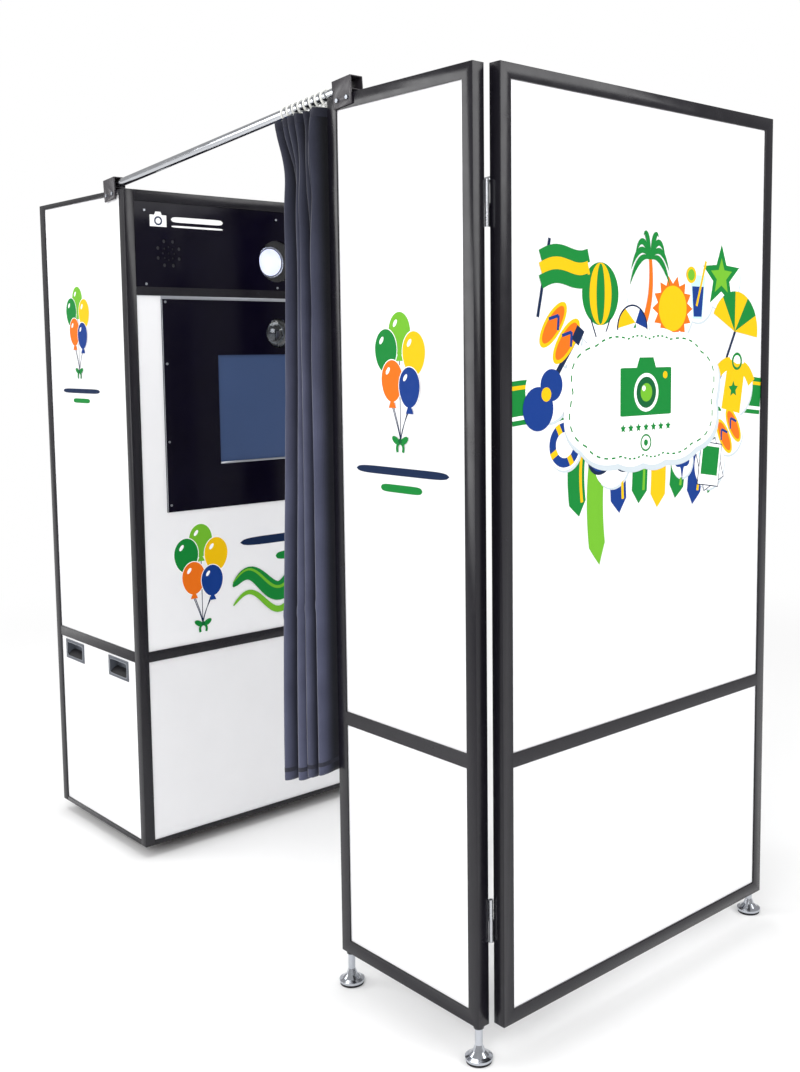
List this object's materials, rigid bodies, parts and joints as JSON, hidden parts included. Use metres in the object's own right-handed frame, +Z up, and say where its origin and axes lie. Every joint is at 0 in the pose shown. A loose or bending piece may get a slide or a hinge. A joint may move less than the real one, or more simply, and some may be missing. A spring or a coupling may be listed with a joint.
{
  "type": "photo booth",
  "caption": "Portable open photo booth: wheeled equipment cabinet with camera, flash and screen, a folding back screen on levelling feet, and curtains on sloping rods.",
  "frame": {"origin": "on the floor, under the middle of the outer box", "axes": "+X from the equipment cabinet to the back wall, -Y the near doorway side, +Z up"},
  "size_m": [1.971, 1.054, 2.0359],
  "materials": {
    "frame_black": "gloss black powder coat",
    "panel_white": "printed white laminate",
    "lower_panel": "light grey laminate",
    "board_brown": "phenolic-faced plywood",
    "fascia_black": "gloss black sheet",
    "trim_grey": "satin",
    "dome_glass": "clear dome",
    "camera_black": "fine grain",
    "mount_black": "black faced board",
    "window_smoke": "smoked window",
    "lamp_body": "matt",
    "speaker_grey": "matt",
    "monitor_black": "fine grain",
    "screen_blue": "dark display glass",
    "case_grey": "texture coat",
    "printer_grey": "fine grain",
    "paper_white": "paper",
    "plastic_black": "fine grain",
    "supply_zinc": "zinc sheet",
    "switch_red": "gloss",
    "door_white": "gloss white powder coat",
    "hinge_silver": "satin",
    "handle_zinc": "grey-blue enamel",
    "screw_steel": "bright",
    "chrome_tube": "polished",
    "saddle_grey": "satin charcoal",
    "foot_chrome": "polished",
    "curtain_navy": "woven dark navy",
    "ring_white": "moulded",
    "caster_steel": "zinc plated",
    "caster_rubber": "grey tread"
  },
  "bodies": {
    "booth": {"cabinet_posts": "frame_black", "cabinet_rails": "frame_black", "cabinet_end_panels": "panel_white", "cabinet_top_cover": "fascia_black", "cabinet_base": "board_brown", "top_fascia": "fascia_black", "fascia_bars": "trim_grey", "graphic_panel": "panel_white", "instrument_panel": "fascia_black", "lower_front_panel": "lower_panel", "camera_dome": "dome_glass", "camera": "camera_black", "equipment_mounts": "mount_black", "flash_window": "window_smoke", "flash_head": "lamp_body", "speakers": "speaker_grey", "monitor_case": "monitor_black", "monitor_screen": "screen_blue", "computer_case": "case_grey", "photo_printer": "printer_grey", "print_chute": "plastic_black", "power_supply": "supply_zinc", "fan_housing": "plastic_black", "mains_inlet": "plastic_black", "rear_lower_panel": "panel_white", "hinge_pins": "hinge_silver", "lifting_handles": "handle_zinc", "fascia_screws": "screw_steel", "curtain_rods": "chrome_tube", "rod_saddles": "saddle_grey", "back_wall_frame": "frame_black", "back_wall_panels": "panel_white"},
    "near_wing": {"near_wing_frame": "frame_black", "near_wing_panels": "panel_white", "near_wing_knuckles": "hinge_silver"},
    "far_wing": {"far_wing_frame": "frame_black", "far_wing_panels": "panel_white", "far_wing_knuckles": "hinge_silver"},
    "near_free_foot": {"near_free_foot": "foot_chrome"},
    "near_corner_foot": {"near_corner_foot": "foot_chrome"},
    "far_free_foot": {"far_free_foot": "foot_chrome"},
    "far_corner_foot": {"far_corner_foot": "foot_chrome"},
    "near_curtain": {"near_curtain": "curtain_navy", "near_curtain_rings": "ring_white"},
    "far_curtain": {"far_curtain": "curtain_navy", "far_curtain_rings": "ring_white"},
    "rear_door": {"rear_door": "door_white"},
    "door_lock": {"door_lock": "hinge_silver"},
    "print_flap": {"print_flap": "plastic_black"},
    "fan_rotor": {"fan_rotor": "plastic_black"},
    "paper_roll": {"paper_roll": "paper_white"},
    "power_switch": {"power_switch": "switch_red"},
    "caster_fork_1": {"caster_fork_1": "caster_steel"},
    "caster_wheel_1": {"caster_wheel_1": "caster_rubber"},
    "caster_fork_2": {"caster_fork_2": "caster_steel"},
    "caster_wheel_2": {"caster_wheel_2": "caster_rubber"},
    "caster_fork_3": {"caster_fork_3": "caster_steel"},
    "caster_wheel_3": {"caster_wheel_3": "caster_rubber"},
    "caster_fork_4": {"caster_fork_4": "caster_steel"},
    "caster_wheel_4": {"caster_wheel_4": "caster_rubber"}
  },
  "joints": [
    {"name": "near_wing_fold", "type": "hinge", "parent": "booth", "child": "near_wing", "pos_m": [0.9535, -0.465, 1], "axis": [0, 0, 1], "range_deg": [-88, 0]},
    {"name": "far_wing_fold", "type": "hinge", "parent": "booth", "child": "far_wing", "pos_m": [0.9535, 0.465, 1], "axis": [0, 0, 1], "range_deg": [0, 88]},
    {"name": "near_free_foot_turn", "type": "hinge", "parent": "near_wing", "child": "near_free_foot", "pos_m": [0.5115, -0.485, 0.05], "axis": [0, 0, 1], "continuous": true},
    {"name": "near_corner_foot_turn", "type": "hinge", "parent": "near_wing", "child": "near_corner_foot", "pos_m": [0.9365, -0.485, 0.05], "axis": [0, 0, 1], "continuous": true},
    {"name": "near_curtain_slide", "type": "slide", "parent": "booth", "child": "near_curtain", "axis": [-0.996, 0, -0.089], "range_m": [0, 0.745]},
    {"name": "far_free_foot_turn", "type": "hinge", "parent": "far_wing", "child": "far_free_foot", "pos_m": [0.5115, 0.485, 0.05], "axis": [0, 0, 1], "continuous": true},
    {"name": "far_corner_foot_turn", "type": "hinge", "parent": "far_wing", "child": "far_corner_foot", "pos_m": [0.9365, 0.485, 0.05], "axis": [0, 0, 1], "continuous": true},
    {"name": "far_curtain_slide", "type": "slide", "parent": "booth", "child": "far_curtain", "axis": [-0.996, 0, -0.089], "range_m": [0, 0.745]},
    {"name": "rear_door_swing", "type": "hinge", "parent": "booth", "child": "rear_door", "pos_m": [-0.9805, 0.469, 1.2], "axis": [0, 0, 1], "range_deg": [-110, 0]},
    {"name": "door_lock_turn", "type": "hinge", "parent": "rear_door", "child": "door_lock", "pos_m": [-0.96, -0.439, 1.24], "axis": [1, 0, 0], "range_deg": [-90, 0]},
    {"name": "print_flap_swing", "type": "hinge", "parent": "booth", "child": "print_flap", "pos_m": [-0.7245, 0.5017, 0.766], "axis": [1, 0, 0], "range_deg": [0, 80]},
    {"name": "fan_spin", "type": "hinge", "parent": "booth", "child": "fan_rotor", "pos_m": [-0.955, 0.26, 0.312], "axis": [1, 0, 0], "continuous": true},
    {"name": "paper_roll_spin", "type": "hinge", "parent": "booth", "child": "paper_roll", "pos_m": [-0.7245, 0.262, 0.867], "axis": [1, 0, 0], "continuous": true},
    {"name": "power_switch_rock", "type": "hinge", "parent": "booth", "child": "power_switch", "pos_m": [-0.9685, -0.316, 0.159], "axis": [0, 1, 0], "range_deg": [-8, 0]},
    {"name": "caster_swivel_1", "type": "hinge", "parent": "booth", "child": "caster_fork_1", "pos_m": [-0.8945, -0.42, 0.042], "axis": [0, 0, 1], "continuous": true},
    {"name": "caster_roll_1", "type": "hinge", "parent": "caster_fork_1", "child": "caster_wheel_1", "pos_m": [-0.9085, -0.42, 0.018], "axis": [0, 1, 0], "continuous": true},
    {"name": "caster_swivel_2", "type": "hinge", "parent": "booth", "child": "caster_fork_2", "pos_m": [-0.8945, 0.42, 0.042], "axis": [0, 0, 1], "continuous": true},
    {"name": "caster_roll_2", "type": "hinge", "parent": "caster_fork_2", "child": "caster_wheel_2", "pos_m": [-0.9085, 0.42, 0.018], "axis": [0, 1, 0], "continuous": true},
    {"name": "caster_swivel_3", "type": "hinge", "parent": "booth", "child": "caster_fork_3", "pos_m": [-0.5145, -0.42, 0.042], "axis": [0, 0, 1], "continuous": true},
    {"name": "caster_roll_3", "type": "hinge", "parent": "caster_fork_3", "child": "caster_wheel_3", "pos_m": [-0.5285, -0.42, 0.018], "axis": [0, 1, 0], "continuous": true},
    {"name": "caster_swivel_4", "type": "hinge", "parent": "booth", "child": "caster_fork_4", "pos_m": [-0.5145, 0.42, 0.042], "axis": [0, 0, 1], "continuous": true},
    {"name": "caster_roll_4", "type": "hinge", "parent": "caster_fork_4", "child": "caster_wheel_4", "pos_m": [-0.5285, 0.42, 0.018], "axis": [0, 1, 0], "continuous": true}
  ]
}
